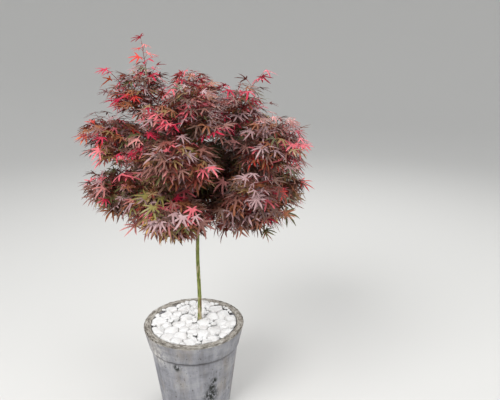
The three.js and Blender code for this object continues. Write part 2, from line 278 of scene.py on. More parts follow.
class Look:
    """A material with short ways to add procedural nodes."""

    def __init__(self, name, base, roughness, specular=0.5):
        self.material = bpy.data.materials.new(name)
        self.material.use_nodes = True
        self.tree = self.material.node_tree
        self.shader = self.tree.nodes["Principled BSDF"]
        self.paint(base)
        self.shader.inputs["Roughness"].default_value = roughness
        self.shader.inputs["Specular IOR Level"].default_value = specular

    def node(self, kind, **settings):
        made = self.tree.nodes.new(kind)
        for name, value in settings.items():
            setattr(made, name, value)
        return made

    def put(self, socket, value):
        """Gives a socket a value or a hex colour, or links another socket to it."""
        if isinstance(value, bpy.types.NodeSocket):
            self.tree.links.new(value, socket)
        else:
            socket.default_value = colour(value) if isinstance(value, str) else value

    def place(self):
        return self.node("ShaderNodeTexCoord").outputs["Object"]

    def math(self, operation, *values, clamp=False):
        made = self.node("ShaderNodeMath", operation=operation, use_clamp=clamp)
        for socket, value in zip(made.inputs, values):
            self.put(socket, value)
        return made.outputs[0]

    def paint(self, shade):
        self.put(self.shader.inputs["Base Color"], shade)

    def split(self):
        """The x, y and z of each place, in metres."""
        made = self.node("ShaderNodeSeparateXYZ")
        self.put(made.inputs[0], self.place())
        return made.outputs

    def around(self):
        """Coordinates of a round thing: the way round its front, its height, and its radius, in metres."""
        x, y, z = self.split()
        radius = self.math("SQRT", self.math("ADD", self.math("MULTIPLY", x, x), self.math("MULTIPLY", y, y)))
        angle = self.math("ARCTAN2", x, self.math("MULTIPLY", y, -1.0))
        joint = self.node("ShaderNodeCombineXYZ")
        self.put(joint.inputs[0], self.math("MULTIPLY", angle, POT.body_top_radius * MM))
        self.put(joint.inputs[1], z)
        self.put(joint.inputs[2], radius)
        return joint.outputs[0]

    def noise(self, place, scale, stretch=(1, 1, 1), detail=4, rough=0.55):
        """Noise at a scale of repeats a metre, with the place stretched along each axis first."""
        mapping = self.node("ShaderNodeMapping")
        self.put(mapping.inputs["Vector"], place)
        mapping.inputs["Scale"].default_value = stretch
        made = self.node("ShaderNodeTexNoise")
        self.put(made.inputs["Vector"], mapping.outputs[0])
        made.inputs["Scale"].default_value = scale
        made.inputs["Detail"].default_value = detail
        made.inputs["Roughness"].default_value = rough
        return made.outputs["Fac"]

    def ramp(self, value, *stops):
        """Colours or shades at places from 0 to 1."""
        made = self.node("ShaderNodeValToRGB")
        self.put(made.inputs[0], value)
        points = made.color_ramp.elements
        while len(points) < len(stops):
            points.new(0.5)
        for point, (at, shade) in zip(points, stops):
            point.position = at
            point.color = colour(shade) if isinstance(shade, str) else (shade, shade, shade, 1)
        return made.outputs[0]

    def blend(self, share, first, second):
        made = self.node("ShaderNodeMix", data_type="RGBA")
        self.put(made.inputs["Factor"], share)
        self.put(made.inputs[6], first)
        self.put(made.inputs[7], second)
        return made.outputs[2]

    def patch(self, place, centre, size):
        """A soft patch round a place: 1 at its centre and 0 from its size on."""
        made = self.node("ShaderNodeVectorMath", operation="DISTANCE")
        self.put(made.inputs[0], place)
        made.inputs[1].default_value = centre
        return self.math("SUBTRACT", 1.0, self.math("DIVIDE", made.outputs["Value"], size), clamp=True)

    def bump(self, *heights):
        """Bumps from (height, depth in mm) pairs, the finest last."""
        normal = None
        for height, depth in heights:
            made = self.node("ShaderNodeBump")
            made.inputs["Distance"].default_value = depth * MM
            self.put(made.inputs["Height"], height)
            if normal is not None:
                self.put(made.inputs["Normal"], normal)
            normal = made.outputs[0]
        self.put(self.shader.inputs["Normal"], normal)


def cement():
    """Grey weathered cement: clouded and streaked, with a chipped rim, pale lime, dark damp stains and
    painted shade under the collar.
    """
    look = Look("cement", "8f8c88", 0.88, 0.3)
    around, place = look.around(), look.place()
    clouds = look.noise(place, 11, detail=8, rough=0.62)
    streaks = look.noise(around, 42, (1, 0.16, 0.3), detail=7, rough=0.68)
    smears = look.ramp(look.noise(around, 30, (0.4, 1, 1), detail=6, rough=0.65),
                       (0.36, "6f6c6b"), (0.5, "98969a"), (0.64, "bcb9b6"))
    shade = look.ramp(clouds, (0.32, "7b7c81"), (0.5, "92939a"), (0.68, "a4a5ab"))
    drawn = look.ramp(streaks, (0.36, "5f5f62"), (0.5, "909198"), (0.63, "b2b3b6"))
    shade = look.blend(0.5, shade, drawn)
    shade = look.blend(0.28, shade, smears)
    warm = look.ramp(look.noise(around, 16, (1, 0.35, 1), detail=5), (0.5, 0.0), (0.7, 0.45))
    shade = look.blend(warm, shade, "93846f")
    lime = look.math("MULTIPLY", look.patch(around, LIME.at, LIME.size),
                     look.ramp(look.noise(place, 70, detail=6, rough=0.7), (0.42, 0.0), (0.6, 1.0)))
    shade = look.blend(lime, shade, "d9d6d2")
    flecks = look.ramp(look.noise(place, 120, (1, 1, 0.7), detail=2), (0.66, 0.0), (0.7, 0.7))
    shade = look.blend(flecks, shade, "4f4a47")
    specks = look.ramp(look.noise(around, 105, (1, 0.7, 1), detail=5, rough=0.72), (0.44, 0.0), (0.52, 1.6))
    for stain in DAMP:
        damp = look.math("MULTIPLY", look.patch(around, stain.at, stain.size), specks, clamp=True)
        shade = look.blend(damp, shade, "2f312e")
    height = look.split()[2]
    ring = look.noise(around, 90, (0.6, 1, 2), detail=8, rough=0.78)
    rim = look.ramp(ring, (0.38, "403b37"), (0.46, "857f76"), (0.56, "aaa59c"), (0.66, "d0cdc7"))
    top = (POT.height - POT.rim_bevel * 2) * MM
    above = look.math("SUBTRACT", height, top)
    on_rim = look.math("DIVIDE", above, POT.rim_bevel * MM, clamp=True)
    shade = look.blend(on_rim, shade, rim)
    # Painted shadow: the cement darkens in a band round a drop below the collar's foot, where the collar's
    # overhang shades it
    foot = (POT.height - POT.collar_height - COLLAR_SHADOW.drop) * MM
    away = look.math("ABSOLUTE", look.math("SUBTRACT", height, foot))
    collar_shadow = look.math("SUBTRACT", 1.0, look.math("DIVIDE", away, COLLAR_SHADOW.reach), clamp=True)
    shade = look.blend(look.math("MULTIPLY", collar_shadow, COLLAR_SHADOW.dark), shade, "3a3634")
    look.paint(shade)
    pits = look.noise(place, 150)
    grit = look.noise(place, 420, detail=3)
    look.bump((streaks, 0.7), (pits, 0.9), (grit, 0.3))
    return look


def white_stone():
    """Bright white marble with faint grey veins and a sugary break."""
    look = Look("white_stone", "f6f6f5", 0.6, 0.4)
    place = look.place()
    veins = look.noise(place, 34, (1, 1, 1.6), detail=6, rough=0.62)
    shade = look.ramp(veins, (0.3, "c6c4c1"), (0.42, "e0dfdd"), (0.56, "ebebea"))
    look.paint(shade)
    look.bump((look.noise(place, 180), 0.6), (look.noise(place, 900, detail=2), 0.15))
    return look


def dark_compost():
    """Dark, crumbly compost."""
    look = Look("dark_compost", "2a211b", 1.0, 0.2)
    place = look.place()
    crumbs = look.noise(place, 160, detail=6, rough=0.7)
    shade = look.ramp(crumbs, (0.35, "140f0c"), (0.55, "33271f"), (0.75, "5a4736"))
    look.paint(shade)
    look.bump((crumbs, 3.0))
    return look


def stem_bark():
    """Smooth olive-green bark with fine streaks, and brown and pale patches, more of them lower down."""
    look = Look("stem_bark", "737a3c", 0.62, 0.4)
    place = look.place()
    streaks = look.noise(place, 240, (1, 1, 0.12))
    shade = look.ramp(streaks, (0.32, "4e5a26"), (0.5, "78823c"), (0.68, "a0a35c"))
    above = look.math("SUBTRACT", look.split()[2], SOIL_TOP * MM)
    low = look.math("SUBTRACT", 1.0, look.math("DIVIDE", above, BARK.mottled), clamp=True)
    for tint, scale in BARK.patches:
        lift = look.math("MULTIPLY", low, BARK.more_below)
        spots = look.math("ADD", look.noise(place, scale, (1, 1, 0.35)), lift)
        shade = look.blend(look.ramp(spots, (0.54, 0.0), (0.62, 0.85)), shade, tint)
    look.paint(shade)
    look.bump((streaks, 0.5), (look.noise(place, 700, (1, 1, 0.4), detail=2), 0.15))
    return look


def bough_bark():
    """Olive-brown bark of the boughs, with paler streaks."""
    look = Look("bough_bark", "6a5a35", 0.65, 0.4)
    streaks = look.noise(look.place(), 150, (1, 1, 0.5))
    look.paint(look.ramp(streaks, (0.32, "40331f"), (0.5, "6f6236"), (0.7, "948a52")))
    look.bump((streaks, 0.4))
    return look


# Patches of the stem's bark as tint and repeats a metre, and the height in metres up to which there are more
BARK = Table(patches=[("74543a", 38), ("b5a585", 62)], mottled=0.22, more_below=0.1)

# Pot, compost and stones

# Marks on the cement, in metres: a painted shadow under the collar's overhang, whose middle is a drop in mm
# below the collar, then the pale lime and the damp stains, each at its way round the front, its height and
# its radius
COLLAR_SHADOW = Table(drop=5, reach=0.009, dark=0.6)
LIME = Table(at=(-0.122, 0.26, 0.16), size=0.07)
DAMP = [
    Table(at=(0.0855, 0.158, 0.143), size=0.017),
    Table(at=(0.079, 0.132, 0.14), size=0.022),
    Table(at=(0.075, 0.096, 0.137), size=0.042),
    Table(at=(-0.046, 0.222, 0.152), size=0.02),
]


def inner_radius(height):
    rim = POT.rim_radius - POT.rim_width
    return mix(POT.inner_base_radius, rim, (height - POT.floor) / (POT.height - POT.floor))


def pot_profile():
    """The pot's outline from its underside to its floor, as rounded corners joined by finely cut runs."""
    p = POT
    foot = p.height - p.collar_height
    inner = inner_radius(p.height)
    corners = [
        # radius, height, rounding, and the length of a step on the run that follows
        (0, 0, 0, 30),
        (p.base_radius - 1, 0, 4, 3.5),
        (p.body_top_radius - 0.5, foot - 8, 2, 1.5),
        (p.body_top_radius - 1.8, foot - 2, 1, 1.2),
        (p.collar_foot_radius + 0.5, foot - 0.5, 1.2, 3),
        (p.rim_radius, p.height - 3, 4, 2),
        (p.rim_radius - 3, p.height, 3, 2.5),
        (inner + 2, p.height, 3, 2),
        (inner, p.height - 5, 3, 4),
        (inner_radius(SOIL_TOP), SOIL_TOP, 2, 40),
        (inner_radius(p.floor + p.cove), p.floor + p.cove, 0, 10),
        (inner_radius(p.floor) - p.cove, p.floor, 0, 30),
        (0, p.floor, 0, 30),
    ]
    rounded = []
    for i, (radius, height, rounding, step) in enumerate(corners):
        here = np.array([radius, height], float)
        if not rounding:
            rounded.append((here, step))
            continue
        back = unit(np.array(corners[i - 1][:2]) - here) * rounding
        on = unit(np.array(corners[i + 1][:2]) - here) * rounding
        corner = Curve(here + back, here, here + on)
        rounded += [(corner.point(t), step) for t in (0, 0.33, 0.67, 1)]
    points = []
    for (start, step), (end, _) in zip(rounded, rounded[1:]):
        cuts = max(1, round(norm(end - start) / step))
        points += [mix(start, end, k / cuts) for k in range(cuts)]
    return np.array(points + [rounded[-1][0]])


# How deep each kind of wear goes, in mm, and how far below the top the rim's wear begins
WEAR = Table(
    uneven=0.9, streaks=0.35, grain=0.2, pits=5, rim_from=7, rim_worn=1.6, rim_chips=6, collar_edge=1.4,
)


def pot_wear(x, y, z, radius, angle):
    """How far the cast cement stands out or is worn away at a point, in mm."""
    height, rim = POT.height, POT.height - WEAR.rim_from
    wear = WEAR.uneven * noise.noise(Vector((x, y, z)) / 70)
    wear += WEAR.streaks * noise.noise(Vector((angle * 22, z / 30, 3)))
    wear += WEAR.grain * noise.noise(Vector((x, y, z)) / 6)
    wear -= WEAR.pits * max(0, noise.noise(Vector((x, y, z + 90)) / 7) - 0.5)
    if z > rim:
        share = min(1, (z - rim) / 5)
        worn = noise.noise(Vector((angle * 9, radius / 4, 7))) + 0.1
        chipped = noise.noise(Vector((angle * 14, radius / 9, z / 9))) - 0.25
        wear -= share * WEAR.rim_worn * max(0, worn)
        wear -= share * WEAR.rim_chips * max(0, chipped)
    if height - POT.collar_height - 2 < z < height - POT.collar_height + 9:
        wear += WEAR.collar_edge * noise.noise(Vector((angle * 12, 1, z / 8)))
    return wear


def build_pot():
    """The pot as a turned shell with cast unevenness, pits, chips round the rim and a rough collar edge."""
    around = 320
    profile = pot_profile()
    ahead = np.gradient(profile, axis=0)
    normals = np.stack([ahead[:, 1], -ahead[:, 0]], axis=1) / norm(ahead, axis=1)[:, None]
    inner = inner_radius(POT.height)
    vertices, faces = [(0, 0, 0)], []
    rows = range(1, len(profile) - 1)
    for row in rows:
        radius, height = profile[row]
        worn = height > 1 and not (radius < inner - 1 and height < SOIL_TOP + 5)
        for j in range(around):
            angle = 2 * pi * j / around
            signed = angle if j <= around / 2 else angle - 2 * pi
            side, back = sin(angle), -cos(angle)
            wear = pot_wear(radius * side, radius * back, height, radius, signed) if worn else 0
            out, up = normals[row] * wear
            vertices.append(((radius + out) * side, (radius + out) * back, height + up))
    vertices.append((0, 0, POT.floor))
    last = len(vertices) - 1
    top = 1 + (len(rows) - 1) * around
    for j in range(around):
        k = (j + 1) % around
        faces.append((0, 1 + k, 1 + j))
        faces.append((last, top + j, top + k))
        for row in range(1, top, around):
            faces.append((row + j, row + k, row + around + k, row + around + j))
    piece("pot_cement", np.array(vertices, float), faces, cement(), "pot", ["pot"])


STONES = Table(
    sizes=(30, 6), tries=5600, spacing=0.78, from_wall=0.6, from_trunk=0.6, meets=1.6,
    spread=(1.18, 1.36), breadth=(0.86, 1), flatness=(0.5, 0.64), facets=(8, 13), cut=(0.62, 0.92),
    rough=0.05, gap=0.5, from_root=1.5, tilt=(-0.25, 0.25), top=(313, 321),
)


def stone_places(draw, rim, trunk):
    """Where a layer of stones lies, as places and radii: the large ones first, then smaller ones between."""
    places = []
    for i in range(STONES.tries):
        radius = mix(*STONES.sizes, sqrt(i / STONES.tries))
        out, side = (rim - radius * STONES.from_wall) * sqrt(draw()), draw() * 2 * pi
        at = np.array([out * cos(side), out * sin(side)])
        if norm(at - trunk) < radius * STONES.from_trunk + TRUNK.foot_radius:
            continue
        if all(norm(at - other) > STONES.spacing * (radius + r) for other, r in places):
            places.append((at, radius))
    return places


def unit_ball(fineness):
    """The points and faces of a ball of radius 1."""
    bpy.ops.mesh.primitive_ico_sphere_add(subdivisions=fineness, radius=1)
    made = bpy.context.object
    points = np.array([v.co for v in made.data.vertices], float)
    faces = [tuple(p.vertices) for p in made.data.polygons]
    bpy.data.objects.remove(made)
    return points, faces


def cut_flat(shape, face, limit):
    """Presses what stands out past a plane back to it."""
    return shape - np.maximum(shape @ face - limit, 0)[:, None] * face


def stone_shape(draw, ball):
    """A broken stone of about unit size: a ball cut flat by a few planes, then roughened and flattened."""
    shape = ball.copy()
    for _ in range(int(between(STONES.facets, draw))):
        face = unit(np.array([draw() - 0.5 for _ in range(3)]))
        shape = cut_flat(shape, face, between(STONES.cut, draw))
    offset = Vector((draw(), draw(), draw())) * 50
    rough = [1 + STONES.rough * noise.noise(Vector(p) * 2.2 + offset) for p in ball]
    spin, spread = draw() * pi, between(STONES.spread, draw)
    shape *= np.array(rough)[:, None]
    shape *= (spread, spread * between(STONES.breadth, draw), between(STONES.flatness, draw))
    c, s = cos(spin), sin(spin)
    return shape @ np.array([[c, s, 0], [-s, c, 0], [0, 0, 1]])


def stone_layer(draw, ball, level):
    """A layer of stones, each cut flat where it meets its neighbours, the wall and the trunk.

    level gives the height of a stone's middle from its shape.
    """
    rim = inner_radius(POT.height)
    trunk = np.array(TRUNK.foot, float)
    places = stone_places(draw, rim, trunk)
    layer = []
    for at, radius in places:
        shape = stone_shape(draw, ball) * radius
        for other, r in places:
            apart = norm(other - at)
            if 0 < apart < STONES.meets * (radius + r):
                face = unit(np.array([*(other - at) / apart, between(STONES.tilt, draw)]))
                shape = cut_flat(shape, face, apart * radius / (radius + r) - STONES.gap)
        apart = norm(trunk - at)
        root = TRUNK.foot_radius + STONES.from_root
        shape = cut_flat(shape, np.array([*(trunk - at) / apart, 0]), apart - root)
        placed = shape + (*at, level(shape))
        out = norm(placed[:, :2], axis=1)
        placed[:, :2] *= np.minimum(1, (inner_radius(placed[:, 2]) - 1) / out)[:, None]
        layer.append(placed)
    return layer


def build_stones():
    """White stones: an upper layer that fills the pot to its rim, and a lower one on the compost."""
    draw = seeded(GROWTH.seed)
    fine, fine_faces = unit_ball(4)
    coarse, coarse_faces = unit_ball(3)
    upper = stone_layer(draw, fine, lambda shape: between(STONES.top, draw) - shape[:, 2].max())
    lower = stone_layer(draw, coarse, lambda shape: SOIL_TOP + GAP - shape[:, 2].min())
    stones = [(points, fine_faces) for points in upper] + [(points, coarse_faces) for points in lower]
    piece("stones_white", *joined(stones), white_stone(), "stones", ["stones"])


# Trunk and boughs
def trunk_point(t):
    first, second = TRUNK.waves
    return np.array([
        TRUNK.foot[0] + TRUNK.lean[0] * t + TRUNK.bend * sin(first * t),
        TRUNK.foot[1] + TRUNK.lean[1] * t + TRUNK.bend * (sin(second * t + 1) - sin(1)),
        mix(SOIL_TOP + GAP, TRUNK.top, t),
    ])


def trunk_radius(t):
    height = t * (TRUNK.top - SOIL_TOP - GAP)
    near_foot = max(0, 1 - height / TRUNK.flare_height)
    return mix(TRUNK.foot_radius, TRUNK.top_radius, t) + TRUNK.flare * near_foot**2


# The bark's relief in shares of a limb's radius, with lengths in shares of the trunk's, or in mm on a bough
TRUNK_SKIN = Table(
    nodes=(0.13, 0.22, 0.33, 0.41, 0.53, 0.62, 0.7, 0.79, 0.87, 0.95), node_swell=0.09,
    node_length=0.006, ridges=0.16, ridged_below=0.09, grain=0.035, fine_grain=0.02, tip=0.6,
)
BOUGH_SKIN = Table(collar=0.55, collar_length=9, node_gap=34, node_swell=0.1, node_length=2.4, grain=0.05)


def build_trunk():
    """The trunk with a ridged root flare, swollen old nodes and fine lengthwise relief."""
    skin = TRUNK_SKIN
    rings, sides = 300, 28
    points, radii, relief = [], [], []
    for i in range(rings):
        t = i / (rings - 1)
        past = [(t - at) / skin.node_length for at in skin.nodes]
        swell = sum(skin.node_swell * exp(-(share**2)) for share in past)
        near_foot = max(0, 1 - t / skin.ridged_below)
        points.append(trunk_point(t))
        radii.append(trunk_radius(t) * (1 + swell))
        row = []
        for j in range(sides):
            angle = 2 * pi * j / sides
            ridge = skin.ridges * near_foot * cos(5 * angle + 0.7)
            c, s = cos(angle), sin(angle)
            grain = skin.grain * noise.noise(Vector((c * 2, s * 2, t * 40)))
            fine = skin.fine_grain * noise.noise(Vector((c * 6, s * 6, t * 90)))
            row.append(1 + ridge + grain + fine)
        relief.append(row)
    radii[-1] *= skin.tip
    vertices, faces = tube(np.array(points), radii, sides, np.array(relief))
    piece("trunk_bark", vertices, faces, stem_bark(), "trunk", ["trunk"])


def build_boughs(masses):
    """The boughs, each with a swollen collar where it leaves the trunk and slight swellings at its nodes."""
    skin, parts = BOUGH_SKIN, []
    sides, rings = 14, 44
    for mass in masses:
        points = mass["bough"].points(rings)
        long = norm(np.diff(points, axis=0), axis=1).sum()
        radii, relief = [], []
        for i in range(rings):
            t = i / (rings - 1)
            collar = skin.collar * exp(-t * long / skin.collar_length)
            past = (t * long) % skin.node_gap - skin.node_gap / 2
            swell = skin.node_swell * exp(-(past / skin.node_length) ** 2)
            radii.append(mix(BOUGH.base_radius, BOUGH.tip_radius, t) * (1 + collar + swell))
            grain = [noise.noise(Vector((j, t * long / 9, long))) for j in range(sides)]
            relief.append([1 + skin.grain * share for share in grain])
        parts.append(tube(points, radii, sides, np.array(relief)))
    piece("boughs_bark", *joined(parts), bough_bark(), "boughs", [f"bough_{mass['name']}" for mass in masses])


# Where each mass of foliage sits, with the bough and stem that carry it, as in the CAD part
def place_mass(tier, i, draw):
    name = f"{tier.name}_{i + 1}"
    own = DEPARTURES.get(name, {})
    turn = radians(tier.turn + 360 / tier.count * i)
    outward = np.array([cos(turn), sin(turn), 0])
    half = np.array(own.get("half", tier.half), float)
    centre = np.array([*AXIS, tier.height]) + outward * tier.out + own.get("shift", (0, 0, 0))
    height = tier.fork + tier.step * ((2 * i + 1) % tier.count)
    fork = trunk_point((height - SOIL_TOP - GAP) / (TRUNK.top - SOIL_TOP - GAP))
    bough = arched(fork, mix(fork, centre, tier.enter), BOUGH.arch)
    goal = centre + outward * (half[0] - GROWTH.stem_end) + UP * between(GROWTH.stem_rise, draw)
    start = bough.end + bough.heading(1) * GAP
    stem = Curve(start, start + bough.heading(1) * norm(goal - start) * BEND_AT, goal)
    shoots = []
    for k, tip in enumerate(own.get("shoots", [])):
        foot = stem.point(GROWTH.shoot_from + GROWTH.shoot_step * k)
        shoots.append(arched(foot, np.array(tip, float), GROWTH.shoot_arch))
    axes = np.array([outward, np.cross(UP, outward), UP])
    return dict(name=name, tier=tier.name, axes=axes, centre=centre, half=half, bough=bough, stem=stem,
                shoots=shoots, draw=draw, leaves=[])


def place_masses():
    masses = []
    for tier in TIERS:
        for i in range(tier.count):
            masses.append(place_mass(tier, i, seeded(GROWTH.seed + 1 + len(masses))))
    for mass in masses:
        apart = np.array([other["centre"] - mass["centre"] for other in masses if other is not mass])
        distance = norm(apart, axis=1)
        mass["walls"] = apart / distance[:, None]
        mass["limits"] = distance / 2 - MARGIN
    return masses


def core_depth(points):
    """How far out points lie in the crown's core: 1 is its surface."""
    shares = (points - (*AXIS, CORE.height)) / CORE.half
    return norm(shares, axis=-1)


def ball_depth(points):
    """How far out points lie in the melted balls of all masses: 1 is their surface."""
    offsets = points[:, None] - balls.centres
    shares = np.abs(np.einsum("pmi,mji->pmj", offsets, balls.axes)) / balls.halves
    depths = np.maximum((shares**FULLNESS).sum(axis=2), 1e-6) ** (1 / FULLNESS)
    return (depths**-MELT).sum(axis=1) ** (-1 / MELT)


def in_space(points, mass, free=False, reach=1.0, overlap=0):
    """Whether points are in the mass's own cell and, unless it is free, in the melted balls or the core."""
    inside = ((points - mass["centre"]) @ mass["walls"].T < mass["limits"] + overlap).all(axis=1)
    if free:
        return inside
    return inside & ((ball_depth(points) < reach) | (core_depth(points) < 1))


def room_along(point, heading, mass):
    """How far one can go from a point along a heading before leaving the mass's space."""
    steps = np.arange(ROOM.step, ROOM.most, ROOM.step)
    inside = in_space(point + steps[:, None] * heading, mass)
    return float(ROOM.most if inside.all() else ROOM.step * np.argmin(inside))


# Leaves
LOBES = {
    7: Table(angles=(-116, -74, -36, 0, 36, 74, 116), lengths=(0.42, 0.72, 0.92, 1, 0.92, 0.72, 0.42)),
    5: Table(angles=(-92, -44, 0, 44, 92), lengths=(0.52, 0.86, 1, 0.86, 0.52)),
}

# How far out a lobe's rib begins, then the place and the half width of each row along it
RIB_FROM = 0.26
ROWS = ((0.46, 0.062), (0.66, 0.066), (0.86, 0.03))


def forked(heading, angle, roll):
    """A heading that forks off from another, to a side that is rolled round it, then flattened."""
    away = turned(unit(np.cross(UP, heading)), heading, roll)
    c, s = cos_sin(angle)
    branch = heading * c + away * s
    branch[2] *= GROWTH.flatten
    return unit(branch)


def new_leaf(foot, heading, scale, draw):
    """A leaf whose petiole leaves a foot along a heading. Its blade is pitched down and tilted."""
    height = (foot[2] - TIERS[0].height) / (TIERS[-1].height - TIERS[0].height)
    high = min(max(height, 0), 1)
    size = between(LEAF.size, draw) * mix(1, LEAF.high_size, high) * scale
    pitch = mix(between(LEAF.low_pitch, draw), between(LEAF.high_pitch, draw), high)
    level = unit(np.array([heading[0], heading[1], 0]))
    c, s = cos_sin(pitch)
    along = level * c - UP * s
    across = turned(np.cross(UP, level), along, between(LEAF.tilt, draw))
    share = mix(LEAF.petiole_least, 1, size / LEAF.size[1])
    heel = foot + heading * between(LEAF.petiole, draw) * share
    lobes = 7 if draw() < LEAF.seven_lobed else 5
    leaf = dict(foot=foot, heel=heel, along=along, across=across, size=size, lobes=lobes)
    leaf["normal"] = np.cross(along, across)
    leaf["droop"] = between(LEAF.droop, draw)
    leaf["fold"] = between(LEAF.fold, draw)
    leaf["lifts"] = [between((-LEAF.lift, LEAF.lift), draw) for _ in range(lobes)]
    leaf["sweeps"] = [between((-LEAF.sweep, LEAF.sweep), draw) for _ in range(lobes)]
    return leaf


def leaf_tips(leaf):
    """The blade's middle and the tips of its lobes."""
    form = LOBES[leaf["lobes"]]
    turn, length = np.radians(form.angles), np.array(form.lengths)
    rise = np.array(leaf["lifts"]) * length - leaf["droop"] * length**2
    tips = (
        leaf["along"] * (np.cos(turn) * length)[:, None]
        + leaf["across"] * (np.sin(turn) * length)[:, None]
        + leaf["normal"] * rise[:, None]
    )
    return leaf["heel"] + leaf["size"] * np.concatenate([[leaf["along"] * LEAF.middle], tips])


class Crowd:
    """The middles of all the leaves so far."""

    def __init__(self):
        self.points = np.zeros((MOST_LEAVES, 3))
        self.count = 0

    def add(self, point):
        self.points[self.count] = point
        self.count += 1


crowd = Crowd()


def add_leaf(foot, heading, mass, tint, free=False):
    """Adds a leaf where one of a few tries fits its mass's space, clear of limbs and other leaves.

    Noise makes some clumps stop short of the mass's ball and others stand out of it.
    """
    draw = mass["draw"]
    for attempt in range(LEAF.tries):
        leaf = new_leaf(foot, heading, LEAF.shrink ** attempt, draw)
        tips = leaf_tips(leaf)
        clump = LEAF.ragged * noise.noise(Vector(tips[0]) / LEAF.clump)
        reach = min(between(LEAF.reach, draw) + clump, LEAF.furthest)
        if not in_space(tips, mass, free, reach, LEAF.overlap).all():
            continue
        if crowd.count and np.abs(crowd.points[:crowd.count] - tips[0]).sum(axis=1).min() < LEAF.apart:
            continue
        if norm(limb_points[:, None] - tips[None], axis=2).min() < LEAF.limb_clearance:
            continue
        inner = core_depth(tips[0]) < CORE.shade
        leaf["tint"] = pick(INNER_SHARES, draw) if inner else tint
        mass["leaves"].append(leaf)
        crowd.add(tips[0])
        return


def add_pair(foot, heading, roll, mass, tint, free=False):
    for side in (1, -1):
        branch = forked(heading, side * between(LEAF.fork, mass["draw"]), roll)
        add_leaf(foot, branch, mass, tint, free)


# Twigs
def add_twig(curve, radii, count, mass, kind):
    mass[kind].append((curve.points(count), np.linspace(*radii, count)))


def bent_shoot(foot, heading, length, draw):
    """A shoot that sets out along a heading and lifts or dips a little."""
    end = foot + unit(heading + UP * between(FINE.shoot_lift, draw)) * length
    return Curve(foot, foot + heading * length * 0.5, end)


def grow_twig(foot, heading, limit, mass, tint):
    """A fine twig that ends in leaves, or leaves alone where there is no room for it."""
    draw = mass["draw"]
    length = min(max(room_along(foot, heading, mass) - FINE.leaf_room, 0), limit, FINE.longest_twig)
    roll = between(GROWTH.roll, draw)
    if length < FINE.least_twig:
        add_leaf(foot, heading, mass, tint)
        return
    twig = bent_shoot(foot, heading, length, draw)
    grown = len(mass["leaves"])
    add_leaf(twig.end, twig.heading(1), mass, tint)
    add_pair(twig.point(FINE.twig_pair_at), twig.heading(1), roll, mass, pick(mass["shares"], draw))
    if length > FINE.second_pair_from:
        at = FINE.second_pair_at
        add_pair(twig.point(at), twig.heading(at), roll + 90, mass, tint)
    if len(mass["leaves"]) > grown:
        add_twig(twig, FINE.twig_radius, 4, mass, "young")


def grow_shoot(foot, heading, mass, tint):
    """A shoot with pairs of twigs at its nodes, each pair turned a quarter from the last."""
    draw = mass["draw"]
    room = room_along(foot, heading, mass) - FINE.leaf_room
    length = min(max(room * between(FINE.shoot_share, draw), 0), FINE.longest_shoot)
    if length < FINE.least_twig:
        grow_twig(foot, heading, 0, mass, tint)
        return
    shoot = bent_shoot(foot, heading, length, draw)
    roll = between(GROWTH.roll, draw)
    grown = len(mass["leaves"])
    young = pick(TOP_SHARES if mass["centre"][2] > TIERS[-2].height - 1 else YOUNG_SHARES, draw)
    add_leaf(shoot.end, shoot.heading(1), mass, young)
    add_pair(shoot.point(FINE.pair_at), shoot.heading(1), roll, mass, young)
    at = FINE.first_node
    while at < length - FINE.least_twig:
        t = at / length
        roll += 90
        for side in (1, -1):
            branch = forked(shoot.heading(t), side * between(GROWTH.fork_angle, draw), roll)
            own = tint if draw() < KEEP_TINT else pick(mass["shares"], draw)
            limit = (length - at) * FINE.twig_share + FINE.twig_extra
            grow_twig(shoot.point(t), branch, limit, mass, own)
        at += between(FINE.internode, draw)
    if len(mass["leaves"]) > grown:
        add_twig(shoot, FINE.shoot_radius, 7, mass, "old")


def grow_long_shoot(shoot, mass):
    """A long thin shoot that stands out of its mass, with crimson and orange leaves in spaced pairs."""
    draw = mass["draw"]
    add_twig(shoot, FINE.shoot_radius, 10, mass, "young")
    add_leaf(shoot.end, shoot.heading(1), mass, "crimson", True)
    step = FINE.long_shoot_step / norm(shoot.end - shoot.start)
    for i, t in enumerate(np.arange(*FINE.long_shoot_leaves, -step)):
        add_pair(shoot.point(t), shoot.heading(t), 90 * (i % 2), mass, pick(SHOOT_SHARES, draw), True)


def grow_shoots(limb, places, mass, shares):
    """Pairs of shoots at places along a limb, each pair turned a quarter from the last."""
    draw = mass["draw"]
    for i, t in enumerate(places):
        roll = 90 * (i % 2) + between(GROWTH.roll, draw)
        for side in (1, -1):
            heading = forked(limb.heading(t), side * between(GROWTH.fork_angle, draw), roll)
            grow_shoot(limb.point(t), heading, mass, pick(shares, draw))


def grow_mass(mass):
    """All of a mass: its stem and long shoots with what they carry, and shoots along its bough."""
    draw, stem, bough = mass["draw"], mass["stem"], mass["bough"]
    own = OWN_SHARES.get(mass["name"], {})
    mass.update(old=[], young=[], shares={**SHARES, **OWN_SHARES.get(mass["tier"], {}), **own})
    add_twig(stem, FINE.stem_radius, 10, mass, "old")
    for shoot in mass["shoots"]:
        grow_long_shoot(shoot, mass)
    add_leaf(stem.end, stem.heading(1), mass, "pink")
    add_pair(stem.point(FINE.pair_at), stem.heading(1), between(GROWTH.roll, draw), mass, "pink")
    pairs = FINE.stem_pairs
    places = [(i * FINE.stem_stride % pairs + 0.5) / pairs for i in range(pairs)]
    grow_shoots(stem, places, mass, mass["shares"])
    step = FINE.bough_step / norm(bough.end - bough.start)
    grow_shoots(bough, np.arange(FINE.bough_from, FINE.bough_to, step), mass, INNER_SHARES)
